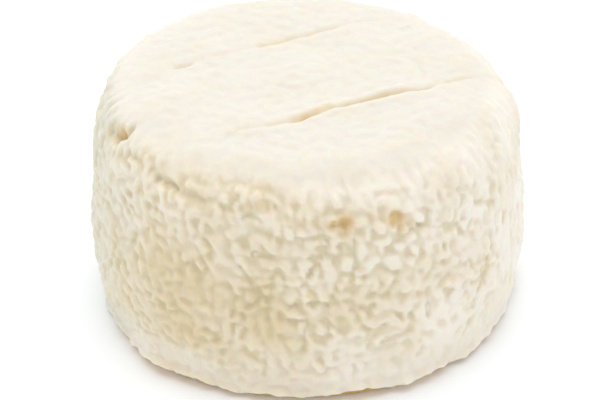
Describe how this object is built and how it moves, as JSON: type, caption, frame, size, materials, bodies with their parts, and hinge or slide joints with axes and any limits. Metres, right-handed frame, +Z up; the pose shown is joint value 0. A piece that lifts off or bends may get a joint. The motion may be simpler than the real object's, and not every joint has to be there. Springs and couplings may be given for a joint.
{
  "type": "crottin goat cheese",
  "caption": "Small drum-shaped ripened goat cheese with a wrinkled white rind, pits under a rolled rim and draining rack marks on its flat faces.",
  "frame": {"origin": "middle of the flat base that the cheese stands on", "axes": "+Z up through the drum; -Y towards the side with the two pits under the rim"},
  "size_m": [0.0554, 0.056, 0.0311],
  "materials": {
    "rind": "dry floury cream-white natural rind, matt, warmer in its grooves and pits"
  },
  "bodies": {
    "root": {"crottin": "rind"}
  },
  "joints": []
}
